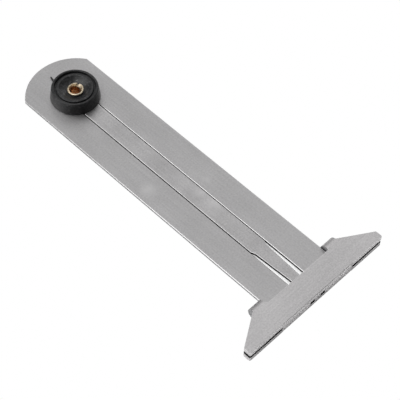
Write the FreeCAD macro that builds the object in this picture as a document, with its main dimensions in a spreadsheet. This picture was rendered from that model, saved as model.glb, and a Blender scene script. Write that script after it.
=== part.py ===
import FreeCAD, Part
import math
import os
import re
import Sketcher

# Flat tread depth gauge, in millimetres.
# X runs along the measuring foot, Y up the blade to the knob, Z out of the knob's side.
# The origin is the middle of the measuring face, in the blade's middle plane.

SHEET = "Sizes"
SAME = 1e-4
FULL_TURN = 360
DRIVING_SIZES = [
    # Blade
    ("blade_width", 25.0),
    ("blade_thickness", 1.0),
    ("blade_end_radius", 15.2),
    ("edge_round", 0.25),
    ("slot_width", 6.0),
    ("ear_length", 3.3),
    # Sliding probe strip
    ("rivet_station", 98.55),
    ("strip_side_clearance", 0.15),
    ("strip_tail", 5.3),
    ("slot_end_clearance", 0.3),
    ("tip_width", 2.5),
    ("shoulder_step", 0.55),
    ("neck_length", 21.5),
    ("shoulder_length", 1.2),
    # Folded foot
    ("sheet_thickness", 1.5),
    ("seat_clearance", 0.05),
    ("foot_length", 53.6),
    ("fold_overhang", 1.6),
    ("fold_radius", 0.2),
    ("wing_end_height", 2.4),
    ("wing_root_rise", 0.35),
    ("wing_corner_radius", 0.5),
    ("tab_gap", 0.1),
    ("tab_width", 4.15),
    ("tab_height", 10.4),
    ("tab_seam", 0.2),
    ("tab_relief", 0.75),
    ("tab_relief_radius", 0.3),
    ("left_root_slant", 0.75),
    ("opening_clearance", 0.2),
    # Thumb knob
    ("knob_base_diameter", 15.3),
    ("knob_waist_taper", 0.3),
    ("knob_waist_height", 2.2),
    ("knob_top_taper", 0.25),
    ("knob_height", 4.05),
    ("knob_edge_radius", 0.5),
    ("rim_wall", 0.85),
    ("groove_width", 0.6),
    ("groove_depth", 0.9),
    ("lip_width", 0.8),
    ("lip_drop", 0.25),
    ("dish_margin", 0.35),
    ("dish_floor_height", 2.6),
    ("nib_length", 2.95),
    ("nib_root_depth", 1.0),
    ("nib_root_offset", 1.65),
    ("nib_root_width", 0.8),
    ("nib_tip_offset", 0.56),
    ("nib_tip_width", 0.45),
    ("nib_height", 0.5),
    # Tubular rivet and back washer
    ("barrel_diameter", 3.6),
    ("barrel_wall", 0.4),
    ("barrel_clearance", 0.05),
    ("rim_overhang", 0.7),
    ("rim_height", 0.8),
    ("rim_round", 0.35),
    ("funnel_depth", 0.35),
    ("split_width", 0.35),
    ("split_angle", 21.0),
    ("head_diameter", 7.6),
    ("head_thickness", 0.75),
    ("head_chamfer", 0.2),
    ("washer_diameter", 11.5),
    ("washer_thickness", 0.8),
]

# Heights and places worked out from the driving sizes
BLADE_FACE = "blade_thickness/2"
INNER_FACE = "(blade_thickness/2 + seat_clearance)"
OUTER_FACE = "(blade_thickness/2 + seat_clearance + sheet_thickness)"
STRIP_WIDTH = "(slot_width - 2*strip_side_clearance)"
STRIP_END = "(rivet_station + strip_tail)"
EAR_END = "(blade_width/2 + ear_length)"
TAB_INNER = "(blade_width/2 + tab_gap)"
TAB_OUTER = "(blade_width/2 + tab_gap + tab_width)"
TAB_START = f"(tab_height - {OUTER_FACE})"
WALL_TOP = f"({TAB_START} - tab_relief)"
WING_ROOT = f"({TAB_START} + wing_root_rise)"
FOLD_HALF = "(blade_width/2 + fold_overhang)"
FOLD_DEPTH = "(sheet_thickness + fold_radius)"
WING_RUN = f"(foot_length/2 - {TAB_OUTER})"
WING_RISE = f"({WING_ROOT} - wing_end_height)"
WAIST_RADIUS = "(knob_base_diameter/2 - knob_waist_taper)"
TOP_RADIUS = "(knob_base_diameter/2 - knob_waist_taper - knob_top_taper)"
KNOB_FLOOR = f"({BLADE_FACE} + dish_floor_height)"
KNOB_TOP = f"({BLADE_FACE} + knob_height)"
WASHER_BACK = f"({BLADE_FACE} + washer_thickness)"
HOLE_RADIUS = "(barrel_diameter/2 + barrel_clearance)"
RIM_RADIUS = "(barrel_diameter/2 + rim_overhang)"

doc = FreeCAD.newDocument("TreadDepthGauge")
sizes = doc.addObject("Spreadsheet::Sheet", SHEET)
for row, (alias, value) in enumerate(DRIVING_SIZES, start=1):
    sizes.set(f"A{row}", alias)
    sizes.set(f"B{row}", str(value))
    sizes.setAlias(f"B{row}", alias)
doc.recompute()


def size(expression):
    """The number that an expression of sheet names gives."""
    return float(sizes.evalExpression(expression))


def bind(target, path, expression):
    """Tie one property or constraint to the sheet."""
    target.setExpression(path, re.sub(r"\b[a-z]+(?:_[a-z]+)+\b", rf"{SHEET}.\g<0>", expression))


def new_body(label):
    """A body whose label is also its file's name."""
    body = doc.addObject("PartDesign::Body", label)
    body.Label = label
    return body


def origin_plane(body, role):
    """One of the body's own origin planes."""
    return next(feature for feature in body.Origin.OriginFeatures if feature.Role == role)


def new_sketch(body, name, role, lift=None):
    """A sketch on one of the body's own origin planes, raised from it by an expression."""
    sketch = body.newObject("Sketcher::SketchObject", name)
    sketch.AttachmentSupport = [(origin_plane(body, role), "")]
    sketch.MapMode = "FlatFace"
    if lift is not None:
        bind(sketch, ".AttachmentOffset.Base.z", lift)
    return sketch


def pin(sketch, edge, point, axis, expression):
    """Hold one coordinate of a point at an expression."""
    index = sketch.addConstraint(
        Sketcher.Constraint(f"Distance{axis}", -1, 1, edge, point, size(expression))
    )
    if expression != "0":
        name = f"{axis.lower()}_{index}"
        sketch.renameConstraint(index, name)
        bind(sketch, f"Constraints.{name}", expression)


def pin_radius(sketch, edge, expression):
    """Hold an arc's or a circle's radius at an expression."""
    index = sketch.addConstraint(Sketcher.Constraint("Radius", edge, size(expression)))
    sketch.renameConstraint(index, "radius")
    bind(sketch, "Constraints.radius", expression)


def start_value(expression):
    """Where a coordinate starts: a leading ~ marks one that an arc settles."""
    return size(expression.lstrip("~"))


def trace(sketch, corners, arcs=None):
    """Draw a closed outline through the corners and bind every one of them to the sheet.

    arcs maps an edge's number to its centre, its radius or None, and +1 for a turn to the left."""
    arcs = arcs or {}
    places = [FreeCAD.Vector(start_value(across), start_value(up), 0) for across, up in corners]
    first_point = []
    last_point = []
    for edge, place in enumerate(places):
        following = places[(edge + 1) % len(places)]
        if edge not in arcs:
            sketch.addGeometry(Part.LineSegment(place, following), False)
            first_point.append(1)
            last_point.append(2)
            continue
        across, up, _, turn = arcs[edge]
        centre = FreeCAD.Vector(start_value(across), start_value(up), 0)
        circle = Part.Circle(centre, FreeCAD.Vector(0, 0, 1), (place - centre).Length)
        begin, end = (place, following) if turn > 0 else (following, place)
        angles = [math.atan2(spot.y - centre.y, spot.x - centre.x) for spot in (begin, end)]
        if angles[1] <= angles[0]:
            angles[1] += 2 * math.pi
        sketch.addGeometry(Part.ArcOfCircle(circle, angles[0], angles[1]), False)
        first_point.append(1 if turn > 0 else 2)
        last_point.append(2 if turn > 0 else 1)
    for edge in range(len(places)):
        following = (edge + 1) % len(places)
        sketch.addConstraint(
            Sketcher.Constraint("Coincident", edge, last_point[edge], following, first_point[following])
        )
    for edge, corner in enumerate(corners):
        for axis, expression in zip("XY", corner):
            if not expression.startswith("~"):
                pin(sketch, edge, first_point[edge], axis, expression)
    for edge, (across, up, radius, _) in arcs.items():
        for axis, expression in (("X", across), ("Y", up)):
            if not expression.startswith("~"):
                pin(sketch, edge, 3, axis, expression)
        if radius is not None:
            pin_radius(sketch, edge, radius)
    doc.recompute()


def trace_circle(sketch, across, up, radius):
    """Draw a full circle."""
    centre = FreeCAD.Vector(size(across), size(up), 0)
    edge = sketch.addGeometry(Part.Circle(centre, FreeCAD.Vector(0, 0, 1), size(radius)), False)
    pin(sketch, edge, 3, "X", across)
    pin(sketch, edge, 3, "Y", up)
    pin_radius(sketch, edge, radius)
    doc.recompute()


def pad(body, sketch, name, length, side="One side"):
    """Raise a sketch into a solid."""
    feature = body.newObject("PartDesign::Pad", name)
    feature.Profile = sketch
    feature.SideType = side
    bind(feature, "Length", length)
    doc.recompute()
    return feature


def pocket(body, sketch, name, length, side="One side"):
    """Cut a sketch out of the body, and make sure that the cut removes something."""
    before = body.Shape.Volume
    feature = body.newObject("PartDesign::Pocket", name)
    feature.Profile = sketch
    feature.SideType = side
    bind(feature, "Length", length)
    doc.recompute()
    if not feature.Shape.Volume < before:
        raise RuntimeError(f"{name} cuts nothing")
    return feature


def revolve(body, sketch, name):
    """Turn a profile about the sketch's upright axis."""
    feature = body.newObject("PartDesign::Revolution", name)
    feature.Profile = sketch
    feature.ReferenceAxis = (sketch, ["V_Axis"])
    feature.Angle = FULL_TURN
    doc.recompute()
    return feature


def round_edges(body, name, radius, wanted):
    """Fillet the edges of the body's last feature that the wanted test accepts."""
    base = body.Tip
    names = [f"Edge{number}" for number, edge in enumerate(base.Shape.Edges, start=1) if wanted(edge)]
    if not names:
        raise RuntimeError(f"{name} finds no edge")
    feature = body.newObject("PartDesign::Fillet", name)
    feature.Base = (base, names)
    bind(feature, "Radius", radius)
    doc.recompute()
    return feature


def near(first, second):
    """Whether two lengths are the same."""
    return abs(first - second) < SAME


def on_a_face(edge):
    """Whether an edge lies in the blade's front or back face."""
    box = edge.BoundBox
    return near(box.ZMin, box.ZMax) and near(abs(box.ZMin), size(BLADE_FACE))


def widest(edge):
    """How far an edge reaches from the middle plane, to either side."""
    return max(abs(edge.BoundBox.XMin), abs(edge.BoundBox.XMax))


def build_blade():
    """One stamped strip: two rails joined by a round outer end, with an ear at each rail's foot end."""
    body = new_body("blade")
    half = "blade_width/2"
    rail_end = "(sheet_thickness + seat_clearance)"
    corner_height = "~rivet_station + sqrt(blade_end_radius^2 - (blade_width/2)^2)"
    outline = new_sketch(body, "blade_outline", "XY_Plane")
    trace(
        outline,
        [
            ("-" + EAR_END, rail_end),
            (EAR_END, rail_end),
            (EAR_END, TAB_START),
            (half, TAB_START),
            (half, corner_height),
            ("-" + half, corner_height),
            ("-" + half, TAB_START),
            ("-" + EAR_END, TAB_START),
        ],
        {4: ("0", "rivet_station", "blade_end_radius", 1)},
    )
    pad(body, outline, "blade_plate", "blade_thickness", "Symmetric")

    slot_side = "slot_width/2"
    slot_top = f"({STRIP_END} + slot_end_clearance - slot_width/2)"
    slot = new_sketch(body, "slot_outline", "XY_Plane")
    trace(
        slot,
        [("-" + slot_side, "0"), (slot_side, "0"), (slot_side, slot_top), ("-" + slot_side, slot_top)],
        {2: ("~0", slot_top, None, 1)},
    )
    pocket(body, slot, "probe_slot", "2*blade_thickness", "Symmetric")

    ear_top = size(TAB_START)
    round_edges(
        body,
        "blade_edges",
        "edge_round",
        lambda edge: on_a_face(edge) and edge.BoundBox.YMax > ear_top + SAME,
    )
    return body


def build_probe_strip():
    """The sliding tongue: a parallel strip, then shoulders, then a neck that tapers to the tip."""
    body = new_body("probe_strip")
    side = f"{STRIP_WIDTH}/2"
    neck = f"({STRIP_WIDTH}/2 - shoulder_step)"
    shoulder_top = "(neck_length + shoulder_length)"
    round_start = f"({STRIP_END} - {STRIP_WIDTH}/2)"
    outline = new_sketch(body, "strip_outline", "XY_Plane")
    trace(
        outline,
        [
            ("-tip_width/2", "0"),
            ("tip_width/2", "0"),
            (neck, "neck_length"),
            (side, shoulder_top),
            (side, round_start),
            ("-" + side, round_start),
            ("-" + side, shoulder_top),
            ("-" + neck, "neck_length"),
        ],
        {4: ("~0", round_start, None, 1)},
    )
    pad(body, outline, "strip_plate", "blade_thickness", "Symmetric")
    hole = new_sketch(body, "strip_hole_outline", "XY_Plane")
    trace_circle(hole, "0", "rivet_station", HOLE_RADIUS)
    pocket(body, hole, "strip_hole", "2*blade_thickness", "Symmetric")

    hole_radius = size(HOLE_RADIUS)
    round_edges(
        body,
        "strip_edges",
        "edge_round",
        lambda edge: on_a_face(edge) and widest(edge) > hole_radius + SAME,
    )
    return body


def plate_outline(top_edge):
    """One wall of the foot: the wings reach the measuring face, the middle stops at the fold."""
    half = "foot_length/2"
    return [
        ("-" + half, "0"),
        ("-" + FOLD_HALF, "0"),
        ("-" + FOLD_HALF, FOLD_DEPTH),
        (FOLD_HALF, FOLD_DEPTH),
        (FOLD_HALF, "0"),
        (half, "0"),
        (half, "wing_end_height"),
        *top_edge,
        ("-" + half, "wing_end_height"),
    ]


def build_foot():
    """One sheet folded round the blade's end: a closed fold, two walls with free wings, and two tabs
    folded right over from the front wall, beside the blade, round the blade's ears."""
    body = new_body("foot")

    fold = new_sketch(body, "fold_section", "YZ_Plane")
    corner = f"({OUTER_FACE} - fold_radius)"
    trace(
        fold,
        [
            ("fold_radius", f"-{OUTER_FACE}"),
            (FOLD_DEPTH, f"-{OUTER_FACE}"),
            (FOLD_DEPTH, f"-{INNER_FACE}"),
            ("sheet_thickness", f"-{INNER_FACE}"),
            ("sheet_thickness", INNER_FACE),
            (FOLD_DEPTH, INNER_FACE),
            (FOLD_DEPTH, OUTER_FACE),
            ("fold_radius", OUTER_FACE),
            ("0", corner),
            ("0", f"-{corner}"),
        ],
        {
            7: ("fold_radius", f"~{corner}", None, 1),
            9: ("fold_radius", f"~-{corner}", None, 1),
        },
    )
    pad(body, fold, "fold", f"2*{FOLD_HALF}", "Symmetric")

    front = new_sketch(body, "front_wall_outline", "XY_Plane", INNER_FACE)
    trace(
        front,
        plate_outline(
            [
                (TAB_OUTER, WING_ROOT),
                (TAB_OUTER, TAB_START),
                (TAB_INNER, TAB_START),
                (TAB_INNER, WALL_TOP),
                (f"left_root_slant - {TAB_INNER}", WALL_TOP),
                ("-" + TAB_INNER, TAB_START),
                ("-" + TAB_OUTER, TAB_START),
                ("-" + TAB_OUTER, WING_ROOT),
            ]
        ),
    )
    pad(body, front, "front_wall", "sheet_thickness")

    back = new_sketch(body, "back_wall_outline", "XY_Plane", f"-{OUTER_FACE}")
    back_shoulder = f"(foot_length/2 - ({WALL_TOP} - wing_end_height)*{WING_RUN}/{WING_RISE})"
    trace(
        back,
        plate_outline([(back_shoulder, WALL_TOP), ("-" + back_shoulder, WALL_TOP)]),
    )
    pad(body, back, "back_wall", "sheet_thickness")

    tab = new_sketch(body, "tab_section", "YZ_Plane", TAB_INNER)
    hem_end = f"({WALL_TOP} + tab_seam)"
    trace(
        tab,
        [
            (TAB_START, INNER_FACE),
            (TAB_START, f"-{INNER_FACE}"),
            (hem_end, f"-{INNER_FACE}"),
            (hem_end, f"-{OUTER_FACE}"),
            (TAB_START, f"-{OUTER_FACE}"),
            (TAB_START, OUTER_FACE),
        ],
        {
            0: (TAB_START, "~0", None, -1),
            4: (TAB_START, "~0", None, 1),
        },
    )
    tab_pad = pad(body, tab, "tab", "tab_width")
    both_tabs = body.newObject("PartDesign::Mirrored", "both_tabs")
    both_tabs.Originals = [tab_pad]
    both_tabs.MirrorPlane = (origin_plane(body, "YZ_Plane"), [""])
    body.Tip = both_tabs
    doc.recompute()

    opening = new_sketch(body, "probe_opening_outline", "XZ_Plane")
    opening_side = "slot_width/2"
    opening_top = f"({BLADE_FACE} + opening_clearance)"
    trace(
        opening,
        [
            ("-" + opening_side, "-" + opening_top),
            (opening_side, "-" + opening_top),
            (opening_side, opening_top),
            ("-" + opening_side, opening_top),
        ],
    )
    pocket(body, opening, "probe_opening", "sheet_thickness")

    half = size("foot_length/2")
    wing_end = size("wing_end_height")
    tab_side = size(TAB_INNER)
    wall_top = size(WALL_TOP)

    def upright_at(edge, across, up):
        box = edge.BoundBox
        upright = near(box.XMin, box.XMax) and near(box.YMin, box.YMax)
        return upright and near(abs(box.XMin), across) and near(box.YMin, up)

    round_edges(
        body,
        "wing_corners",
        "wing_corner_radius",
        lambda edge: upright_at(edge, half, 0) or upright_at(edge, half, wing_end),
    )
    round_edges(
        body,
        "right_tab_relief",
        "tab_relief_radius",
        lambda edge: upright_at(edge, tab_side, wall_top),
    )
    return body


def build_knob():
    """The moulded thumb knob: a tapered wall, a ring groove inside the rim, and a dish for the rivet."""
    body = new_body("knob")
    groove_outer = f"({TOP_RADIUS} - rim_wall)"
    groove_inner = f"({groove_outer} - groove_width)"
    groove_floor = f"({KNOB_TOP} - groove_depth)"
    lip_level = f"({KNOB_TOP} - lip_drop)"
    lip = f"({groove_inner} - lip_width)"
    floor_edge = f"({RIM_RADIUS} + dish_margin)"
    profile = new_sketch(body, "knob_profile", "XZ_Plane")
    rise = f"({lip_level} - {KNOB_FLOOR})"
    dish_centre = (
        f"~({lip_level} + {KNOB_FLOOR})/2 + ({lip}^2 - {floor_edge}^2)/(2*{rise})"
    )
    trace(
        profile,
        [
            (HOLE_RADIUS, BLADE_FACE),
            ("knob_base_diameter/2", BLADE_FACE),
            (WAIST_RADIUS, f"{BLADE_FACE} + knob_waist_height"),
            (TOP_RADIUS, KNOB_TOP),
            (groove_outer, KNOB_TOP),
            (groove_outer, groove_floor),
            (groove_inner, groove_floor),
            (groove_inner, lip_level),
            (lip, lip_level),
            (floor_edge, KNOB_FLOOR),
            (HOLE_RADIUS, KNOB_FLOOR),
        ],
        {8: ("0", dish_centre, None, -1)},
    )
    revolve(body, profile, "knob_turning")

    nib = new_sketch(body, "nib_outline", "XY_Plane", BLADE_FACE)
    root = "(knob_base_diameter/2 - nib_root_depth)"
    tip = "(knob_base_diameter/2 + nib_length)"
    trace(
        nib,
        [
            ("-nib_root_offset - nib_root_width/2", root),
            ("-nib_root_offset + nib_root_width/2", root),
            ("-nib_tip_offset + nib_tip_width/2", tip),
            ("-nib_tip_offset - nib_tip_width/2", tip),
        ],
    )
    pad(body, nib, "gate_nib", "nib_height")

    top = size(KNOB_TOP)
    rim = size(TOP_RADIUS)
    round_edges(
        body,
        "rim_edge",
        "min(knob_edge_radius; rim_wall)",
        lambda edge: near(edge.BoundBox.ZMin, top) and near(edge.BoundBox.XMax, rim),
    )
    bind(body, ".Placement.Base.y", "rivet_station")
    return body


def build_rivet():
    """The brass tubular rivet: a flat head behind the washer, and a rim flared over in the dish."""
    body = new_body("rivet")
    barrel = "barrel_diameter/2"
    bore = f"({barrel} - barrel_wall)"
    rim_top = f"({KNOB_FLOOR} + rim_height)"
    head_back = f"-({WASHER_BACK} + head_thickness)"
    profile = new_sketch(body, "rivet_profile", "XZ_Plane")
    trace(
        profile,
        [
            (bore, head_back),
            ("head_diameter/2 - head_chamfer", head_back),
            ("head_diameter/2", f"{head_back} + head_chamfer"),
            ("head_diameter/2", f"-{WASHER_BACK}"),
            (barrel, f"-{WASHER_BACK}"),
            (barrel, KNOB_FLOOR),
            (RIM_RADIUS, KNOB_FLOOR),
            (RIM_RADIUS, f"{rim_top} - rim_round"),
            (f"{RIM_RADIUS} - rim_round", rim_top),
            (bore, f"{KNOB_FLOOR} - funnel_depth"),
        ],
        {7: (f"{RIM_RADIUS} - rim_round", f"~{rim_top} - rim_round", None, 1)},
    )
    revolve(body, profile, "rivet_turning")

    split = new_sketch(body, "split_outline", "XY_Plane", rim_top)
    bind(split, ".AttachmentOffset.Rotation.Angle", "split_angle")
    trace(
        split,
        [
            (f"{bore}/2", "-split_width/2"),
            (f"2*{RIM_RADIUS}", "-split_width/2"),
            (f"2*{RIM_RADIUS}", "split_width/2"),
            (f"{bore}/2", "split_width/2"),
        ],
    )
    pocket(body, split, "rim_split", "rim_height")
    bind(body, ".Placement.Base.y", "rivet_station")
    return body


def build_back_washer():
    """The plain washer that spans the slot under the rivet's head."""
    solids = []
    for name, radius in (("washer_disc", "washer_diameter/2"), ("washer_hole", HOLE_RADIUS)):
        solid = doc.addObject("Part::Cylinder", name)
        bind(solid, "Radius", radius)
        bind(solid, "Height", "washer_thickness")
        bind(solid, ".Placement.Base.y", "rivet_station")
        bind(solid, ".Placement.Base.z", f"-{WASHER_BACK}")
        solids.append(solid)
    washer = doc.addObject("Part::Cut", "back_washer")
    washer.Base, washer.Tool = solids
    return washer


pieces = [
    build_blade(),
    build_probe_strip(),
    build_foot(),
    build_knob(),
    build_rivet(),
    build_back_washer(),
]
doc.recompute()

for item in doc.Objects:
    if "Invalid" in item.State or "Error" in item.State:
        raise RuntimeError(f"{item.Label} failed: {item.State}")
    if item.isDerivedFrom("Sketcher::SketchObject") and not item.FullyConstrained:
        raise RuntimeError(f"{item.Label} is not fully constrained")
for piece in pieces:
    if piece.Shape.isNull() or not piece.Shape.isValid():
        raise RuntimeError(f"{piece.Label} has no valid shape")

os.makedirs("parts", exist_ok=True)
for piece in pieces:
    piece.Shape.exportStep(f"parts/{piece.Label}.step")
    box = piece.Shape.BoundBox
    print(
        f"{piece.Label}: {len(piece.Shape.Solids)} solid, {piece.Shape.Volume:.2f} mm3, "
        f"x {box.XMin:.2f} to {box.XMax:.2f}, y {box.YMin:.2f} to {box.YMax:.2f}, "
        f"z {box.ZMin:.2f} to {box.ZMax:.2f}"
    )
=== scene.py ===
# %% [markdown]
# # A tread depth gauge, dressed for its portrait
#
# The gauge is a small steel tool: a slotted blade, a folded foot, a strip that slides in the slot, and a
# black thumb knob held by a brass tube rivet. The solids arrive finished, in metres, with +Y running up the
# blade and +Z out of the knob's side. This lesson gives them their looks: softened edges, satin steel,
# moulded plastic, rolled brass, a scale on the back, and the light of a small photo studio.

# %% Load the solids
import math

import bmesh
import bpy
from mathutils import Matrix, Quaternion, Vector


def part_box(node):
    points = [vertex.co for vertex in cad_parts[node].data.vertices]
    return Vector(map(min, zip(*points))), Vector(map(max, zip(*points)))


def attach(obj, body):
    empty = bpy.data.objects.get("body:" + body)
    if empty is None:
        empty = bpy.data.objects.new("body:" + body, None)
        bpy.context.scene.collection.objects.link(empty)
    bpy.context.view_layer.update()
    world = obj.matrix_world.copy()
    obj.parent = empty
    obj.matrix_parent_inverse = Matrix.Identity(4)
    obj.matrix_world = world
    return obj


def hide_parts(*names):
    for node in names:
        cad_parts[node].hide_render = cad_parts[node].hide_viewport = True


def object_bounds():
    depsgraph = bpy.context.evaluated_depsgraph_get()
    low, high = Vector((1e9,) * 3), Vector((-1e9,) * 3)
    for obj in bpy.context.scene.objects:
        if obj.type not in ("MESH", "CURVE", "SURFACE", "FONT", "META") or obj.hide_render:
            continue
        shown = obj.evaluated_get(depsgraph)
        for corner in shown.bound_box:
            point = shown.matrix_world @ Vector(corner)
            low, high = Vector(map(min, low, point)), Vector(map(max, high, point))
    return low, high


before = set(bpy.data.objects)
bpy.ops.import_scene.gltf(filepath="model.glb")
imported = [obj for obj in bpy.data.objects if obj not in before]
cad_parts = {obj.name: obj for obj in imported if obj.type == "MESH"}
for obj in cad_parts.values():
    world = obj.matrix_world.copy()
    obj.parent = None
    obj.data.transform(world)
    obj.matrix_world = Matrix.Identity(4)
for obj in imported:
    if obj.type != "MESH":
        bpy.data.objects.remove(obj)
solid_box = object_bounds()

MM = 0.001

# %% [markdown]
# ## The camera
#
# The photograph was taken from above the foot's left side, with a long lens, so the far end of the blade
# hardly shrinks. A camera can be placed by hand until the picture looks right, but it is surer to know one
# place, one point that it looks at, and a small roll. `to_track_quat` turns the camera to that point, and
# the roll is a last turn about its own line of sight.

# %% Camera
CAMERA_PLACE = Vector((-163.82, -106.31, 313.11)) * MM
CAMERA_TARGET = Vector((-0.07, 45.39, 0.0)) * MM
CAMERA_ROLL = math.radians(2.587)
LENS_MM = 120.86
SENSOR_MM = 36

camera_data = bpy.data.cameras.new("studio_camera")
camera_data.lens = LENS_MM
camera_data.sensor_width = SENSOR_MM
camera = bpy.data.objects.new("studio_camera", camera_data)
camera.location = CAMERA_PLACE
camera.rotation_mode = "QUATERNION"
look = (CAMERA_TARGET - CAMERA_PLACE).to_track_quat("-Z", "Y")
camera.rotation_quaternion = look @ Quaternion((0, 0, 1), CAMERA_ROLL)
bpy.context.scene.collection.objects.link(camera)
bpy.context.scene.camera = camera
print("camera distance, mm:", round((CAMERA_TARGET - CAMERA_PLACE).length / MM, 1))

# %% [markdown]
# ## Building materials without repeating ourselves
#
# Every finish is a small tree of shader nodes. A few helpers keep the trees short: one adds a node with its
# settings and wires it, one does a step of arithmetic, one turns a range of values into a mask, and one
# blends two colours by a mask.

# %% Helpers for nodes
def add_node(tree, kind, settings=None, **inputs):
    """Add a node, set its properties, and fill or wire its inputs by name, or by number as _0, _1."""
    node = tree.nodes.new(kind)
    for name, value in (settings or {}).items():
        setattr(node, name, value)
    for name, value in inputs.items():
        socket = node.inputs[int(name[1:])] if name[1:].isdigit() else node.inputs[name.replace("_", " ")]
        if isinstance(value, bpy.types.NodeSocket):
            tree.links.new(value, socket)
        else:
            socket.default_value = value
    return node


def math_node(tree, operation, first, second=0.0, third=0.0, clamp=False):
    """One step of arithmetic, returned as a socket."""
    node = add_node(tree, "ShaderNodeMath", {"operation": operation, "use_clamp": clamp},
                    _0=first, _1=second, _2=third)
    return node.outputs[0]


def ramp(tree, value, low, high, kind="LINEAR"):
    """A mask that is 0 at low and 1 at high, returned as a socket; low may be the larger of the two."""
    node = add_node(tree, "ShaderNodeMapRange", {"interpolation_type": kind}, Value=value,
                    From_Min=low, From_Max=high)
    return node.outputs["Result"]


def mix_colours(tree, factor, first, second):
    """Blend two colours by a mask."""
    node = add_node(tree, "ShaderNodeMix", {"data_type": "RGBA"}, _0=factor, _6=first, _7=second)
    return node.outputs[2]


print("node helpers ready")

# %% [markdown]
# Effects that several materials share go into node groups, which put out only masks, values and heights.
# The shader itself always stays in the material, and the pattern's place is always the object's own
# coordinates, so that it stays on the piece when the piece moves.

# %% Helpers for groups and materials
FLOAT = "NodeSocketFloat"
VECTOR = "NodeSocketVector"


def new_group(name, inputs, outputs):
    """An empty shader group with named sockets: (kind, name, default) in, (kind, name) out."""
    tree = bpy.data.node_groups.new(name, "ShaderNodeTree")
    for kind, label, default in inputs:
        socket = tree.interface.new_socket(label, in_out="INPUT", socket_type=kind)
        if default is not None:
            socket.default_value = default
    for kind, label in outputs:
        tree.interface.new_socket(label, in_out="OUTPUT", socket_type=kind)
    return tree, tree.nodes.new("NodeGroupInput"), tree.nodes.new("NodeGroupOutput")


def new_material(name):
    """A material with its shader and the object's own coordinates ready to wire."""
    material = bpy.data.materials.new(name)
    material.use_nodes = True
    tree = material.node_tree
    place = tree.nodes.new("ShaderNodeTexCoord").outputs["Object"]
    return material, tree, tree.nodes["Principled BSDF"], place


def use_group(tree, group, **inputs):
    """Place a group in a material with its own values."""
    return add_node(tree, "ShaderNodeGroup", {"node_tree": group}, **inputs)


def grey(level):
    """A colour without a hue."""
    return (level, level, level, 1)


def times(tint, factor):
    """A tint made lighter or darker."""
    return [min(1.0, channel * factor) for channel in tint] + [1]


print("group and material helpers ready")

# %% [markdown]
# ## Rolled grain
#
# Sheet steel comes off the mill with fine lines along the way it was rolled. The lines are a noise texture
# squeezed across the sheet and stretched along it; the material's Mapping node does the stretching, so one
# group serves a sheet that lies either way. Tumbling then covers most of the lines with an even speckle, a
# second noise that isn't stretched. A third, slow noise is the cloudiness that handling leaves, and a
# fourth, cut off high, leaves a few single scratches.

# %% Group: rolled grain
SPECKLE_SHARE = 0.65
SCRATCH_COARSENESS = 0.17
SCRATCH_DEPTH = -0.8

rolled_grain, given, result = new_group(
    "rolled_grain",
    [(VECTOR, "Grain Place", None), (VECTOR, "Cloud Place", None), (FLOAT, "Grain Scale", 2400.0),
     (FLOAT, "Cloud Scale", 55.0), (FLOAT, "Speckle Scale", 2000.0), (FLOAT, "Scratch Amount", 0.5)],
    [(FLOAT, "Grain"), (FLOAT, "Cloud"), (FLOAT, "Scratch"), (FLOAT, "Height")],
)
lines = add_node(rolled_grain, "ShaderNodeTexNoise", Vector=given.outputs["Grain Place"],
                 Scale=given.outputs["Grain Scale"], Detail=3.0, Roughness=0.6)
speckle = add_node(rolled_grain, "ShaderNodeTexNoise", Vector=given.outputs["Cloud Place"],
                   Scale=given.outputs["Speckle Scale"], Detail=2.0, Roughness=0.6)
speckle_part = math_node(rolled_grain, "MULTIPLY", speckle.outputs["Fac"], SPECKLE_SHARE)
grain = math_node(rolled_grain, "MULTIPLY_ADD", lines.outputs["Fac"], 1 - SPECKLE_SHARE, speckle_part)
cloud = add_node(rolled_grain, "ShaderNodeTexNoise", Vector=given.outputs["Cloud Place"],
                 Scale=given.outputs["Cloud Scale"], Detail=4.0, Roughness=0.55)
scratch_scale = math_node(rolled_grain, "MULTIPLY", given.outputs["Grain Scale"], SCRATCH_COARSENESS)
scratch = add_node(rolled_grain, "ShaderNodeTexNoise", Vector=given.outputs["Grain Place"],
                   Scale=scratch_scale, Detail=2.0, Roughness=0.5)
scratch_cut = ramp(rolled_grain, scratch.outputs["Fac"], 0.66, 0.74)
scratch_mask = math_node(rolled_grain, "MULTIPLY", scratch_cut, given.outputs["Scratch Amount"])
grain_height = math_node(rolled_grain, "MULTIPLY_ADD", scratch_mask, SCRATCH_DEPTH, grain)
for label, socket in (("Grain", grain), ("Cloud", cloud.outputs["Fac"]), ("Scratch", scratch_mask),
                      ("Height", grain_height)):
    rolled_grain.links.new(socket, result.inputs[label])
print("rolled grain:", len(rolled_grain.nodes), "nodes")

# %% [markdown]
# ## Rubbed edges
#
# Edges are touched and polished first. The Bevel node looks up a softened normal: where that differs from
# the true one there is an edge, and the difference makes a mask. A slow noise breaks the mask up, so that
# no edge is rubbed evenly along its whole length.

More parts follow.
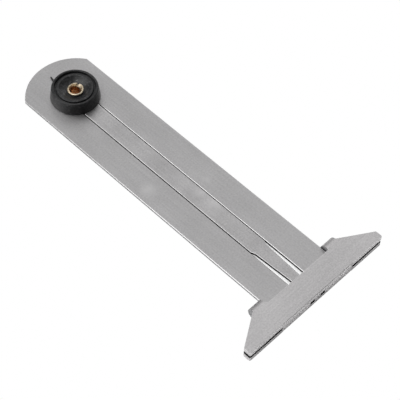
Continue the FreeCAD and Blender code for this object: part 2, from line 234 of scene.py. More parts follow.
# %% Group: rubbed edges
rubbed_edges, given, result = new_group(
    "rubbed_edges",
    [(VECTOR, "Place", None), (FLOAT, "Strength", 6.0), (FLOAT, "Patch Scale", 300.0)],
    [(FLOAT, "Mask")],
)
soft_normal = add_node(rubbed_edges, "ShaderNodeBevel", {"samples": 4}, Radius=0.15 * MM)
true_normal = rubbed_edges.nodes.new("ShaderNodeNewGeometry")
likeness = add_node(rubbed_edges, "ShaderNodeVectorMath", {"operation": "DOT_PRODUCT"},
                    _0=soft_normal.outputs["Normal"], _1=true_normal.outputs["Normal"])
difference = math_node(rubbed_edges, "SUBTRACT", 1.0, likeness.outputs["Value"])
edge_amount = math_node(rubbed_edges, "MULTIPLY", difference, given.outputs["Strength"], clamp=True)
patches = add_node(rubbed_edges, "ShaderNodeTexNoise", Vector=given.outputs["Place"],
                   Scale=given.outputs["Patch Scale"], Detail=3.0)
patch_level = math_node(rubbed_edges, "MULTIPLY_ADD", patches.outputs["Fac"], 1.2, 0.2, clamp=True)
edge_mask = math_node(rubbed_edges, "MULTIPLY", edge_amount, patch_level, clamp=True)
rubbed_edges.links.new(edge_mask, result.inputs["Mask"])
print("rubbed edges:", len(rubbed_edges.nodes), "nodes")

# %% [markdown]
# ## Worn spots
#
# A thumb wears a sheet in a few places more than elsewhere. A spot is a soft ball round a point: 1 in its
# middle, 0 at its edge, and ragged in between because noise is added to the distance. The group takes the
# mask of the spots before it and puts out the larger of the two, so any number of them can be chained.

# %% Group: worn spot
worn_spot, given, result = new_group(
    "worn_spot",
    [(VECTOR, "Place", None), (VECTOR, "Centre", None), (FLOAT, "Reach", 6.0 * MM),
     (FLOAT, "Ragged", 3.0 * MM), (FLOAT, "Others", 0.0)],
    [(FLOAT, "Mask")],
)
distance = add_node(worn_spot, "ShaderNodeVectorMath", {"operation": "DISTANCE"},
                    _0=given.outputs["Place"], _1=given.outputs["Centre"])
ragged = add_node(worn_spot, "ShaderNodeTexNoise", Vector=given.outputs["Place"], Scale=500.0, Detail=4.0)
uneven = math_node(worn_spot, "MULTIPLY", ragged.outputs["Fac"], given.outputs["Ragged"])
felt = math_node(worn_spot, "ADD", distance.outputs["Value"], uneven)
spot = ramp(worn_spot, felt, given.outputs["Reach"], 0.0, "SMOOTHSTEP")
worn_spot.links.new(math_node(worn_spot, "MAXIMUM", spot, given.outputs["Others"]), result.inputs["Mask"])
print("worn spot:", len(worn_spot.nodes), "nodes")

# %% [markdown]
# ## Satin stainless steel
#
# Metal has no colour of its own under the shine, so the base colour is the tint of the reflection, and most
# of the look sits in the roughness and in the tiny bump of the grain. The tint is put together in layers:
# clouds, grain and rubbed edges first, then what wear adds, and on the foot painted shade on its folded tabs
# and in its fold. Each layer is a small function that takes the colour so far and hands on the next.

# %% Layers of the steel's colour
# The third value darkens the foot's tabs, as painted shade.
RUBBED, POLISHED, BEND_SHADE = 1.8, 1.35, 0.80
WEAR_DEPTH = 0.7
SHEET_TOP = 0.5


def clouded_grain(tree, tint, rolled, edge_mask, cloud_depth, grain_depth):
    """Slow clouds, fine grain, and edges that hands have rubbed bright."""
    clouds = ramp(tree, rolled.outputs["Cloud"], 0.35, 0.65)
    clouded = mix_colours(tree, clouds, times(tint, 1 - cloud_depth), times(tint, 1 + cloud_depth))
    streak = math_node(tree, "MULTIPLY_ADD", rolled.outputs["Grain"], 2 * grain_depth, -grain_depth)
    streaked = add_node(tree, "ShaderNodeHueSaturation", Color=clouded,
                        Value=math_node(tree, "ADD", streak, 1.0))
    return mix_colours(tree, edge_mask, streaked.outputs["Color"], times(tint, RUBBED))


def with_wear(tree, place, colour, tint, spots):
    """Polished spots, each given as x, y and reach in mm on the sheet's top face."""
    wear = 0.0
    for x, y, reach in spots:
        spot = use_group(tree, worn_spot, Place=place, Centre=(x * MM, y * MM, SHEET_TOP * MM),
                         Reach=reach * MM, Others=wear)
        wear = spot.outputs["Mask"]
    return mix_colours(tree, math_node(tree, "MULTIPLY", wear, WEAR_DEPTH), colour, times(tint, POLISHED))


print("steel layers ready")

# %% [markdown]
# The foot is a folded sheet, and two places on it get painted shade. The tabs folded round the blade are
# darkened beyond their root, and the narrow gap inside the fold is painted dark grey. Both are picked by
# the place on the piece: how far up the blade, and how near to its middle plane.

# %% Painted shade of the fold
GAP_HALF = 0.62
GAP_START, GAP_END = 0.3, 8.0
BEND_LENGTH = 0.8
# Painted shade: the dark grey that the fold's narrow gap is painted with.
FOLD_GAP_SHADE = grey(0.13)


def inside_fold(tree, up):
    """1 in the fold's narrow gap, which gets painted shade, and 0 on every outer face."""
    level = math_node(tree, "ABSOLUTE", up.outputs["Z"])
    in_gap = math_node(tree, "LESS_THAN", level, GAP_HALF * MM)
    behind_face = math_node(tree, "GREATER_THAN", up.outputs["Y"], GAP_START * MM)
    before_bends = math_node(tree, "LESS_THAN", up.outputs["Y"], GAP_END * MM)
    return math_node(tree, "MULTIPLY", in_gap, math_node(tree, "MULTIPLY", behind_face, before_bends))


def with_fold(tree, place, colour, tint, bend_start):
    """Painted shade beyond bend_start, in mm up the blade, and painted shade inside the fold's gap."""
    up = add_node(tree, "ShaderNodeSeparateXYZ", Vector=place)
    # Painted shade: the tabs are darkened beyond their root, and the fold's gap is painted dark grey.
    bend = ramp(tree, up.outputs["Y"], bend_start * MM, (bend_start + BEND_LENGTH) * MM)
    shaded_bend = mix_colours(tree, bend, colour, times(tint, BEND_SHADE))
    return mix_colours(tree, inside_fold(tree, up), shaded_bend, FOLD_GAP_SHADE)


print("fold marks ready")

# %% [markdown]
# Now the recipe itself. One function makes every steel of the gauge, with the layers above for its colour
# and the same masks for its gloss: grain and clouds roughen it, scratches and rubbed edges shine.

# %% Material: satin steel
def satin_steel(name, tint, stretch, roughness, cloud_depth, cloud_scale, grain_depth, worn=(),
                bend_start=None):
    """Rolled stainless sheet. stretch squeezes the grain's coordinates: small along the rolling."""
    material, tree, shader, place = new_material(name)
    mapping = add_node(tree, "ShaderNodeMapping", Vector=place, Scale=stretch)
    rolled = use_group(tree, rolled_grain, Grain_Place=mapping.outputs["Vector"], Cloud_Place=place,
                       Cloud_Scale=cloud_scale)
    edge_mask = use_group(tree, rubbed_edges, Place=place).outputs["Mask"]
    colour = clouded_grain(tree, tint, rolled, edge_mask, cloud_depth, grain_depth)
    if worn:
        colour = with_wear(tree, place, colour, tint, worn)
    # On the foot, painted shade on the folded tabs and in the fold's gap.
    if bend_start is not None:
        colour = with_fold(tree, place, colour, tint, bend_start)
    tree.links.new(colour, shader.inputs["Base Color"])
    shader.inputs["Metallic"].default_value = 1.0
    grain_part = math_node(tree, "MULTIPLY_ADD", rolled.outputs["Grain"], 0.12, roughness - 0.06)
    cloud_part = math_node(tree, "MULTIPLY_ADD", rolled.outputs["Cloud"], 0.10, grain_part)
    bright_part = math_node(tree, "MULTIPLY_ADD", rolled.outputs["Scratch"], -0.10, cloud_part)
    edge_part = math_node(tree, "MULTIPLY_ADD", edge_mask, -0.12, bright_part)
    tree.links.new(edge_part, shader.inputs["Roughness"])
    bump = add_node(tree, "ShaderNodeBump", Height=rolled.outputs["Height"], Strength=0.25,
                    Distance=0.004 * MM)
    tree.links.new(bump.outputs["Normal"], shader.inputs["Normal"])
    return material


print("satin steel recipe ready")

# %% [markdown]
# Four sheets use the recipe: the blade and the strip are a touch darker, and their grain runs along the
# slot; the foot was rolled the other way, and its front wall is lighter. Three more steels are for single
# faces, and they paint light and shade. One is rough, as a cut end is, and its dark tint is painted shade
# on the tabs' ends and the blade's outer sides; a light one is a painted highlight on edges that face the
# low light; and the walls of the narrow slot, which only ever mirror each other, get painted shade, nearly
# black.

# %% The gauge's steels
ALONG_Y = (1.0, 0.03, 1.0)
ALONG_X = (0.03, 1.0, 1.0)
THROUGH_SHEET = (1.0, 1.0, 0.1)
TAB_ROOT = 8.4

blade_steel = satin_steel("blade_steel", (0.536, 0.529, 0.533), ALONG_Y, 0.34, 0.03, 55.0, 0.34,
                          worn=[(-8.5, 58.0, 5.5), (6.5, 49.0, 3.5)])
strip_steel = satin_steel("strip_steel", (0.542, 0.534, 0.538), ALONG_Y, 0.34, 0.08, 90.0, 0.46,
                          worn=[(1.7, 47.0, 5.5), (2.0, 41.5, 6.5)])
foot_steel = satin_steel("foot_steel", (0.612, 0.601, 0.605), ALONG_X, 0.42, 0.05, 70.0, 0.38,
                         bend_start=TAB_ROOT)
washer_steel = satin_steel("washer_steel", (0.60, 0.60, 0.60), ALONG_X, 0.28, 0.03, 200.0, 0.05)
# Painted shade: a dark tint on a rough sheared finish, for the tabs' ends and the blade's outer sides.
sheared_shaded_steel = satin_steel("sheared_shaded_steel", (0.33, 0.33, 0.335), THROUGH_SHEET, 0.50, 0.15, 900.0, 0.20)
# Painted highlight: a light tint for edges that face the low light on the left.
painted_highlight_steel = satin_steel("painted_highlight_steel", (0.78, 0.77, 0.775), ALONG_Y, 0.34, 0.03, 55.0, 0.20)
# Painted shade: nearly black, for the slot's walls and the fold's opening.
painted_shade_steel = satin_steel("painted_shade_steel", (0.08, 0.08, 0.08), THROUGH_SHEET, 0.50, 0.15, 900.0, 0.20)
print("steels:", [m.name for m in bpy.data.materials if m.name.endswith("steel")])

# %% [markdown]
# ## Moulded black plastic
#
# The knob came out of a mould with a soft satin skin: nearly black, with highlights that are broad and
# grey. A fine cell pattern gives the skin its bump, faint flow marks vary the gloss, and dust has settled in
# flecks. All three are one group, so that the same flecks that lighten the colour also dull the gloss.

# %% Group: moulded skin
moulded_skin, given, result = new_group(
    "moulded_skin",
    [(VECTOR, "Place", None), (FLOAT, "Pore Scale", 9000.0), (FLOAT, "Flow Scale", 260.0),
     (FLOAT, "Dust Scale", 1500.0)],
    [(FLOAT, "Height"), (FLOAT, "Flow"), (FLOAT, "Dust")],
)
pores = add_node(moulded_skin, "ShaderNodeTexVoronoi", {"feature": "SMOOTH_F1"},
                 Vector=given.outputs["Place"], Scale=given.outputs["Pore Scale"])
flow = add_node(moulded_skin, "ShaderNodeTexNoise", Vector=given.outputs["Place"],
                Scale=given.outputs["Flow Scale"], Detail=4.0, Roughness=0.6)
dust = add_node(moulded_skin, "ShaderNodeTexNoise", Vector=given.outputs["Place"],
                Scale=given.outputs["Dust Scale"], Detail=4.0, Roughness=0.7)
flecks = ramp(moulded_skin, dust.outputs["Fac"], 0.50, 0.72)
for label, socket in (("Height", pores.outputs["Distance"]), ("Flow", flow.outputs["Fac"]),
                      ("Dust", flecks)):
    moulded_skin.links.new(socket, result.inputs[label])
print("moulded skin:", len(moulded_skin.nodes), "nodes")

# %% [markdown]
# Dust stays longest in the dish, where no thumb wipes it, so the distance from the knob's axis makes a
# second mask. It adds a thin haze inside the dish and lets the flecks come out at full strength there.
# Edges are a little lighter and shinier where the thumb runs over them, and a thin coat on top of the satin
# skin gives the small sharp glints that the photograph shows.

# %% Material: moulded plastic
KNOB_Y = 98.55
DISH_RIM, DISH_WALL = 6.0, 4.8
SKIN_DARK, SKIN_LIGHT = (0.007, 0.007, 0.0075, 1), (0.013, 0.013, 0.014, 1)
HAZE, DUST, THUMB_SHINE = (0.018, 0.018, 0.019, 1), (0.10, 0.101, 0.106, 1), (0.060, 0.060, 0.062, 1)

black_plastic, tree, shader, place = new_material("moulded_black_plastic")
skin = use_group(tree, moulded_skin, Place=place)
edge_mask = use_group(tree, rubbed_edges, Place=place, Strength=3.0).outputs["Mask"]
from_axis = add_node(tree, "ShaderNodeVectorMath", {"operation": "SUBTRACT"}, _0=place,
                     _1=(0, KNOB_Y * MM, 0))
level_place = add_node(tree, "ShaderNodeVectorMath", {"operation": "MULTIPLY"},
                       _0=from_axis.outputs["Vector"], _1=(1, 1, 0))
radius = add_node(tree, "ShaderNodeVectorMath", {"operation": "LENGTH"}, _0=level_place.outputs["Vector"])
in_dish = ramp(tree, radius.outputs["Value"], DISH_RIM * MM, DISH_WALL * MM)
clean = mix_colours(tree, skin.outputs["Flow"], SKIN_DARK, SKIN_LIGHT)
hazed = mix_colours(tree, in_dish, clean, HAZE)
dust_amount = math_node(tree, "MULTIPLY_ADD", in_dish, 0.5, 0.5)
dusty = mix_colours(tree, math_node(tree, "MULTIPLY", dust_amount, skin.outputs["Dust"]), hazed, DUST)
tree.links.new(mix_colours(tree, edge_mask, dusty, THUMB_SHINE), shader.inputs["Base Color"])

gloss = math_node(tree, "MULTIPLY_ADD", skin.outputs["Flow"], 0.16, 0.28)
dull_dust = math_node(tree, "MULTIPLY_ADD", skin.outputs["Dust"], 0.15, gloss)
tree.links.new(math_node(tree, "MULTIPLY_ADD", edge_mask, -0.08, dull_dust), shader.inputs["Roughness"])
bump = add_node(tree, "ShaderNodeBump", Height=skin.outputs["Height"], Strength=0.2, Distance=0.01 * MM)
wavy = add_node(tree, "ShaderNodeBump", Height=skin.outputs["Dust"], Normal=bump.outputs["Normal"],
                Strength=0.6, Distance=0.05 * MM)
tree.links.new(wavy.outputs["Normal"], shader.inputs["Normal"])
shader.inputs["Specular IOR Level"].default_value = 0.4
shader.inputs["Coat Weight"].default_value = 0.2
shader.inputs["Coat Roughness"].default_value = 0.08
print("plastic:", black_plastic.name)

# %% [markdown]
# ## Rolled brass
#
# The rivet's rim was curled over by a punch, so it is dull and slightly bruised, while the bore below it
# has gone brown. One noise, cut hard, spots the colour, and the height of the point mixes in the brown:
# deep in the tube it is all tarnish, and on the rim it is bare brass. The head on the far side rubs on
# pockets and benches, so it is bare as well.

# %% Material: brass
BARE_DARK, BARE_LIGHT = (0.46, 0.35, 0.23, 1), (0.95, 0.83, 0.64, 1)
BROWN_DARK, BROWN_LIGHT = (0.26, 0.10, 0.035, 1), (0.88, 0.50, 0.25, 1)
BROWN_BELOW_RIM, BARE_BELOW_RIM, HEAD_BARE = 1.4, 0.8, 0.9

rim_low, rim_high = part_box("rivet")
brass, tree, shader, place = new_material("rolled_brass")
mottle = add_node(tree, "ShaderNodeTexNoise", Vector=place, Scale=2200.0, Detail=5.0,
                  Roughness=0.7).outputs["Fac"]
spots = ramp(tree, mottle, 0.38, 0.58)
bare = mix_colours(tree, spots, BARE_DARK, BARE_LIGHT)
tarnish = mix_colours(tree, spots, BROWN_DARK, BROWN_LIGHT)
height = add_node(tree, "ShaderNodeSeparateXYZ", Vector=place).outputs["Z"]
near_rim = ramp(tree, height, rim_high.z - BROWN_BELOW_RIM * MM, rim_high.z - BARE_BELOW_RIM * MM)
head_side = math_node(tree, "LESS_THAN", height, rim_low.z + HEAD_BARE * MM)
rubbed_bare = math_node(tree, "MAXIMUM", near_rim, head_side)
tree.links.new(mix_colours(tree, rubbed_bare, tarnish, bare), shader.inputs["Base Color"])
shader.inputs["Metallic"].default_value = 1.0
tree.links.new(math_node(tree, "MULTIPLY_ADD", mottle, 0.25, 0.22), shader.inputs["Roughness"])
bump = add_node(tree, "ShaderNodeBump", Height=mottle, Strength=0.4, Distance=0.03 * MM)
tree.links.new(bump.outputs["Normal"], shader.inputs["Normal"])
print("brass:", brass.name)

# %% [markdown]
# ## Helpers for meshes
#
# Every piece ends the same way: its faces are shaded round except across sharp edges, it becomes a mesh,
# and the mesh goes into the scene with its material. Three small helpers do that for all of them.

# %% Helpers for meshes
SHARP_ANGLE = math.radians(40)
FLAT_ANGLE = math.radians(0.5)
MERGE_WITHIN = 0.002


def link(name, mesh, *materials):
    """Put a mesh into the scene with its materials."""
    for material in materials:
        mesh.materials.append(material)
    piece = bpy.data.objects.new(name, mesh)
    bpy.context.scene.collection.objects.link(piece)
    return piece


def smooth_mesh(shape):
    """Shade the faces round, and keep the sharp edges sharp."""
    for face in shape.faces:
        face.smooth = True
    for edge in shape.edges:
        edge.smooth = edge.calc_face_angle(0.0) < SHARP_ANGLE


def made_mesh(shape, name):
    """Turn a finished bmesh into a mesh of its own."""
    mesh = bpy.data.meshes.new(name)
    shape.to_mesh(mesh)
    shape.free()
    return mesh


print("mesh helpers ready")

# %% [markdown]
# ## Sheet pieces with softened edges
#
# Stamped sheet never has a perfectly sharp corner: tumbling leaves an edge about a tenth of a millimetre
# wide, and that edge is what catches the light. The solids are exact but razor sharp, and their triangles
# are loose, so each one is copied, merged and cleaned into flat faces. A Bevel modifier then rounds only
# what is sharper than its angle limit, and hardened normals keep the flat faces flat in the shading.

# %% Softened copies
def softened_copy(node, name, edge_mm, material):
    """A merged copy of a solid, its sharp edges rounded, standing in for the solid."""
    shape = bmesh.new()
    shape.from_mesh(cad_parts[node].data)
    bmesh.ops.remove_doubles(shape, verts=shape.verts, dist=MERGE_WITHIN * MM)
    bmesh.ops.dissolve_limit(shape, angle_limit=FLAT_ANGLE, verts=shape.verts, edges=shape.edges)
    smooth_mesh(shape)
    mesh = made_mesh(shape, name)
    for layer in [a.name for a in mesh.attributes if a.name == "custom_normal"]:
        mesh.attributes.remove(mesh.attributes[layer])
    piece = link(name, mesh, material)
    bevel = piece.modifiers.new("soft_edges", "BEVEL")
    bevel.width = edge_mm * MM
    bevel.segments = 2
    bevel.limit_method = "ANGLE"
    bevel.angle_limit = SHARP_ANGLE
    bevel.harden_normals = True
    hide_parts(node)
    print(name, "faces:", len(mesh.polygons))
    return piece


blade = softened_copy("blade", "blade_sheet", 0.08, blade_steel)
strip = softened_copy("probe_strip", "sliding_strip", 0.08, strip_steel)
foot = softened_copy("foot", "folded_foot", 0.12, foot_steel)
washer = softened_copy("back_washer", "back_washer_ring", 0.08, washer_steel)

# %% [markdown]
# A mesh can carry several materials, and each face says by its number which one it wears. So the cut faces
# are picked by where they are and which way they look: the ends of the foot's tabs, the opening in its fold,
# the walls of the slot, and the blade's outer sides get painted shade. The rounded edges that face left and
# up, towards the low light, get a painted highlight; the later picks win where two tests overlap.

# %% Cut faces, with painted shade and highlight
SLOT_SIDE = 3.3
SHADED_EDGE = (-3.6, -2.5)
OPENING_HALF, OPENING_END, WALL_INSIDE = 4.0, 4.0, 1.2
FACE_SKIN = 0.05


def sheared_tab_end(face):
    """The ends of the foot's tabs."""
    return abs(face.normal.x) > 0.9 and face.center.y > TAB_ROOT * MM


def fold_opening(face):
    """The inside of the opening that the probe passes through."""
    return (abs(face.center.x) < OPENING_HALF * MM and abs(face.center.z) < WALL_INSIDE * MM
            and FACE_SKIN * MM < face.center.y < OPENING_END * MM)


def punched_edge(face):
    """Rounded edges that look left and up, towards the low light: they get a painted highlight."""
    return face.normal.x < -0.25 and face.normal.z > 0.20


def slot_wall(face):
    """The upright sides of slot and strip, which face each other across two narrow gaps."""
    return abs(face.normal.x) > 0.5 and abs(face.normal.z) < 0.6 and abs(face.center.x) < SLOT_SIDE * MM


def slot_side_or_shaded_edge(face):
    """The slot's walls, and its left edge, which looks away from the light at the strip's dark side: painted
    shade.
    """
    low, high = SHADED_EDGE
    return slot_wall(face) or (face.normal.x > 0.3 and low * MM < face.center.x < high * MM)


def outer_side(face):
    """The blade's upright sides, outside the slot."""
    return abs(face.normal.z) < 0.3 and abs(face.center.x) > SLOT_SIDE * MM


def give_faces(piece, material, choose):
    """Put another material on the faces that a test picks."""
    piece.data.materials.append(material)
    picked = [face for face in piece.data.polygons if choose(face)]
    for face in picked:
        face.material_index = len(piece.data.materials) - 1
    print(piece.name, material.name, "faces:", len(picked))


# Painted shade on the tabs' ends, the fold's opening, the slot's walls and the blade's sides; painted
# highlight on the blade's edges that face the light.
give_faces(foot, sheared_shaded_steel, sheared_tab_end)
give_faces(foot, painted_shade_steel, fold_opening)
give_faces(blade, painted_highlight_steel, punched_edge)
give_faces(blade, painted_shade_steel, slot_side_or_shaded_edge)
give_faces(blade, sheared_shaded_steel, outer_side)
give_faces(strip, painted_shade_steel, slot_wall)

# %% [markdown]
# ## Turned pieces
#
# The knob and the rivet are round, so each is a profile turned about an axis. The profile is a closed loop
# of corners, given as radius and height. Each corner is swapped for a small arc before turning, because a
# moulded or rolled edge is never sharp, and the rings are then stitched with quads all the way round.

# %% Lathe helpers
def rounded_profile(corners, steps=5):
    """Swap each (radius, height, rounding) corner of a closed loop for a small arc, all in mm."""
    points = []
    for index, (radius, height, rounding) in enumerate(corners):
        here = Vector((radius, height))
        if rounding == 0:
            points.append(here)
            continue
        back = (Vector(corners[index - 1][:2]) - here).normalized()
        ahead = (Vector(corners[(index + 1) % len(corners)][:2]) - here).normalized()
        half_angle = back.angle(ahead) / 2
        reach = rounding / math.tan(half_angle)
        centre = here + (back + ahead).normalized() * rounding / math.sin(half_angle)
        first, last = here + back * reach - centre, here + ahead * reach - centre
        sweep = first.angle_signed(last)
        for step in range(steps + 1):
            points.append(centre + Matrix.Rotation(-sweep * step / steps, 2) @ first)
    return points


def turned_shape(profile, centre, segments):
    """Turn a closed profile about the upright axis through centre."""
    shape = bmesh.new()
    rings = []
    for segment in range(segments):
        angle = 2 * math.pi * segment / segments
        across = Vector((math.cos(angle), math.sin(angle), 0))
        rings.append([shape.verts.new((centre + across * r + Vector((0, 0, z))) * MM) for r, z in profile])
    for segment in range(segments):
        ring, following = rings[segment], rings[(segment + 1) % segments]
        for index in range(len(profile)):
            beyond = (index + 1) % len(profile)
            shape.faces.new((ring[index], following[index], following[beyond], ring[beyond]))
    bmesh.ops.recalc_face_normals(shape, faces=shape.faces)
    smooth_mesh(shape)
    return shape


print("lathe ready")

# %% [markdown]
# ## The thumb knob
#
# The knob is a stout button, hollowed on top so that a thumb can push it along. Its own box in the solids
# gives the outer sizes. The dish's hollow is one arc from the lip's edge to the floor's edge, with its
# centre on the knob's axis, so a formula gives its points better than a list would.

# %% Knob: sizes and the dish's arc
knob_low, knob_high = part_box("knob")
knob_radius = (knob_high.x - knob_low.x) / 2 / MM
knob_base, knob_top = knob_low.z / MM, knob_high.z / MM
axis = Vector((0, knob_low.y / MM + knob_radius, 0))
HOLE = 1.85
DISH_FLOOR = knob_base + 2.6
DISH_EDGE, LIP_EDGE, GROOVE_IN, GROOVE_OUT = 2.85, 4.85, 5.65, 6.25
LIP_DROP, GROOVE_DEPTH = 0.25, 0.9
DISH_STEPS = 12

lip_top = knob_top - LIP_DROP
dish_rise = lip_top - DISH_FLOOR
dish_centre = (lip_top + DISH_FLOOR) / 2 + (LIP_EDGE ** 2 - DISH_EDGE ** 2) / (2 * dish_rise)
dish_radius = math.hypot(LIP_EDGE, lip_top - dish_centre)
dish = []
for step in range(1, DISH_STEPS):
    radius = LIP_EDGE + (DISH_EDGE - LIP_EDGE) * step / DISH_STEPS
    dish.append((radius, dish_centre - math.sqrt(dish_radius ** 2 - radius ** 2), 0))
print("knob radius, mm:", round(knob_radius, 2), "height:", round(knob_top - knob_base, 2))

# %% [markdown]
# From outside in, the profile is a wall that leans inwards and bends once at its waist, a thin rounded rim,
# a ring groove, a lip just below the rim, and the dish, down to the flat floor where the rivet's rim sits.

# %% Knob: profile
knob_profile = rounded_profile([
    (HOLE, knob_base, 0),
    (knob_radius, knob_base, 0.12),
    (knob_radius - 0.30, knob_base + 2.2, 1.5),
    (knob_radius - 0.55, knob_top, 0.45),
    (GROOVE_OUT, knob_top, 0.30),
    (GROOVE_OUT, knob_top - GROOVE_DEPTH, 0.12),
    (GROOVE_IN, knob_top - GROOVE_DEPTH, 0.12),
    (GROOVE_IN, lip_top, 0.25),
    (LIP_EDGE, lip_top, 0.25),
    *dish,
    (DISH_EDGE, DISH_FLOOR, 0.05),
    (HOLE, DISH_FLOOR, 0),
])
knob_shape = turned_shape(knob_profile, axis, 128)
print("knob profile points:", len(knob_profile))

# %% [markdown]
# At the knob's base, on the far side, is a sliver of plastic where the mould's gate was snapped off. It is
# three small sections, each a low shape with a rounded back, that shrink and lean outwards. They are
# joined to the same mesh, because knob and nib came out of the mould in one piece.

# %% Knob: the nib
nib_reach = knob_high.y / MM - axis.y
nib_sections = [(-1.65, 6.65, 0.40, 0.50), (-1.10, 8.60, 0.34, 0.48), (-0.56, nib_reach, 0.20, 0.34)]
NIB_SHOULDER, NIB_BACK = 0.7, 0.4

nib_rings = []
for x, y, half, height in nib_sections:
    ring = [(x - half, 0), (x + half, 0), (x + half, height * NIB_SHOULDER), (x + half * NIB_BACK, height),
            (x - half * NIB_BACK, height), (x - half, height * NIB_SHOULDER)]
    nib_rings.append([knob_shape.verts.new((axis + Vector((u, y, knob_base + v))) * MM) for u, v in ring])
nib_faces = [knob_shape.faces.new(nib_rings[0]), knob_shape.faces.new(reversed(nib_rings[-1]))]
for near_ring, far_ring in zip(nib_rings, nib_rings[1:]):
    for index in range(len(near_ring)):
        beyond = (index + 1) % len(near_ring)
        nib_faces.append(knob_shape.faces.new(
            (near_ring[index], near_ring[beyond], far_ring[beyond], far_ring[index])))
bmesh.ops.recalc_face_normals(knob_shape, faces=nib_faces)

knob = link("thumb_knob", made_mesh(knob_shape, "thumb_knob"), black_plastic)
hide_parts("knob")
print("knob faces:", len(knob.data.polygons))

# %% [markdown]
# ## The tube rivet
#
# A thin brass tube goes through knob, strip and washer. Its far end is a flat head, and its near end was
# flared and rolled outwards over the dish's floor, which tore it once. The rolled rim is a profile with a
# large rounding and an undercut below. A few sine waves round the rim and a small shift to one side stand
# for the hand that punched it, and the metal sags beside the tear.

# %% Rivet: profile and uneven rim
TUBE_OUT, TUBE_IN, RIM_OUT, HEAD_OUT = 1.80, 1.40, 2.50, 3.80
TEAR_ANGLE, TEAR_SPREAD = math.radians(21), math.radians(30)
TEAR_SAG = 0.15
RIM_SHIFT = Vector((0.04, -0.25, 0))
RIM_WAVES = [(3, 0.7, 0.035), (5, 2.1, 0.025), (11, 0.0, 0.018)]
rivet_top, rivet_bottom = rim_high.z / MM, rim_low.z / MM
washer_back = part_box("back_washer")[0].z / MM

rivet_profile = rounded_profile([
    (TUBE_IN, rivet_bottom, 0.08),
    (HEAD_OUT, rivet_bottom, 0.20),
    (HEAD_OUT, washer_back, 0.05),
    (TUBE_OUT, washer_back, 0),
    (TUBE_OUT, DISH_FLOOR, 0),
    (RIM_OUT - 0.40, DISH_FLOOR, 0.05),
    (RIM_OUT, DISH_FLOOR + 0.36, 0.15),
    (RIM_OUT - 0.04, rivet_top, 0.26),
    (RIM_OUT - 0.50, rivet_top, 0.20),
    (TUBE_IN + 0.12, DISH_FLOOR + 0.05, 0.35),
    (TUBE_IN, DISH_FLOOR - 0.5, 0.3),
])
rivet_shape = turned_shape(rivet_profile, axis, 96)
for vert in rivet_shape.verts:
    offset = vert.co / MM - axis
    rise = (offset.z - DISH_FLOOR) / (rivet_top - DISH_FLOOR)
    if rise <= 0:
        continue
    angle = math.atan2(offset.y, offset.x)
    turn = abs((angle - TEAR_ANGLE + math.pi) % (2 * math.pi) - math.pi)
    wave = sum(depth * math.sin(count * angle + start) for count, start, depth in RIM_WAVES)
    outward = Vector((math.cos(angle), math.sin(angle), 0))
    sag = TEAR_SAG * max(0, 1 - turn / TEAR_SPREAD) ** 2
    vert.co += (RIM_SHIFT + outward * wave - Vector((0, 0, sag))) * rise * MM
uncut_rivet = link("uncut_rivet", made_mesh(rivet_shape, "uncut_rivet"), brass)
print("rivet profile points:", len(rivet_profile))

# %% [markdown]
# The tear is a wedge that widens outwards, taken away by a Boolean modifier. Its result is made a plain mesh
# at once, so the finished rivet carries no modifier and the wedge can go.

# %% Rivet: the tear
TEAR_WIDTH = 0.60
WEDGE_START, WEDGE_TIP, WEDGE_FLARE = 0.9, 0.05, 0.75


def frozen(source, name):
    """The evaluated shape of an object as a plain mesh object; the source is removed."""
    shape = bpy.data.meshes.new_from_object(source.evaluated_get(bpy.context.evaluated_depsgraph_get()))
    shape.name = name
    bpy.data.objects.remove(source)
    piece = bpy.data.objects.new(name, shape)
    bpy.context.scene.collection.objects.link(piece)
    return piece


along = Vector((math.cos(TEAR_ANGLE), math.sin(TEAR_ANGLE), 0))
beside = Vector((-along.y, along.x, 0))
wedge = bmesh.new()
corners = []
for z in (DISH_FLOOR + 0.08, rivet_top + 0.5):
    for reach, half in ((WEDGE_START, WEDGE_TIP), (RIM_OUT + 0.5, TEAR_WIDTH * WEDGE_FLARE)):
        for side in (-1, 1):
            corner = axis + along * reach + beside * side * half + Vector((0, 0, z))
            corners.append(wedge.verts.new(corner * MM))
for quad in ((0, 1, 3, 2), (4, 6, 7, 5), (0, 4, 5, 1), (2, 3, 7, 6), (0, 2, 6, 4), (1, 5, 7, 3)):
    wedge.faces.new([corners[index] for index in quad])
bmesh.ops.recalc_face_normals(wedge, faces=wedge.faces)
wedge_object = link("tear_wedge", made_mesh(wedge, "tear_wedge"), brass)

tear = uncut_rivet.modifiers.new("tear", "BOOLEAN")
tear.operation = "DIFFERENCE"
tear.object = wedge_object
rivet = frozen(uncut_rivet, "tube_rivet")
bpy.data.objects.remove(wedge_object)
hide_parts("rivet")
print("rivet faces:", len(rivet.data.polygons))

# %% [markdown]
# ## The scale on the back
#
# The depth is read on the hidden side: a millimetre scale beside the slot, and a line on the strip that
# moves along it. The marks are etched and filled, so the ink is black with a faint bite in it.

# %% Material: etched ink
etched_ink, tree, shader, place = new_material("etched_ink")
bite = add_node(tree, "ShaderNodeTexNoise", Vector=place, Scale=6000.0, Detail=3.0).outputs["Fac"]
tree.links.new(mix_colours(tree, bite, (0.012, 0.012, 0.014, 1), (0.04, 0.04, 0.042, 1)),
               shader.inputs["Base Color"])
tree.links.new(math_node(tree, "MULTIPLY_ADD", bite, 0.2, 0.5), shader.inputs["Roughness"])
print("ink:", etched_ink.name)

# %% [markdown]
# Ticks that repeat are a job for Geometry Nodes. The tree's inputs are the sizes that a scale is drawn
# with: how many ticks, how far apart, how long each kind is, and where the first one stands.

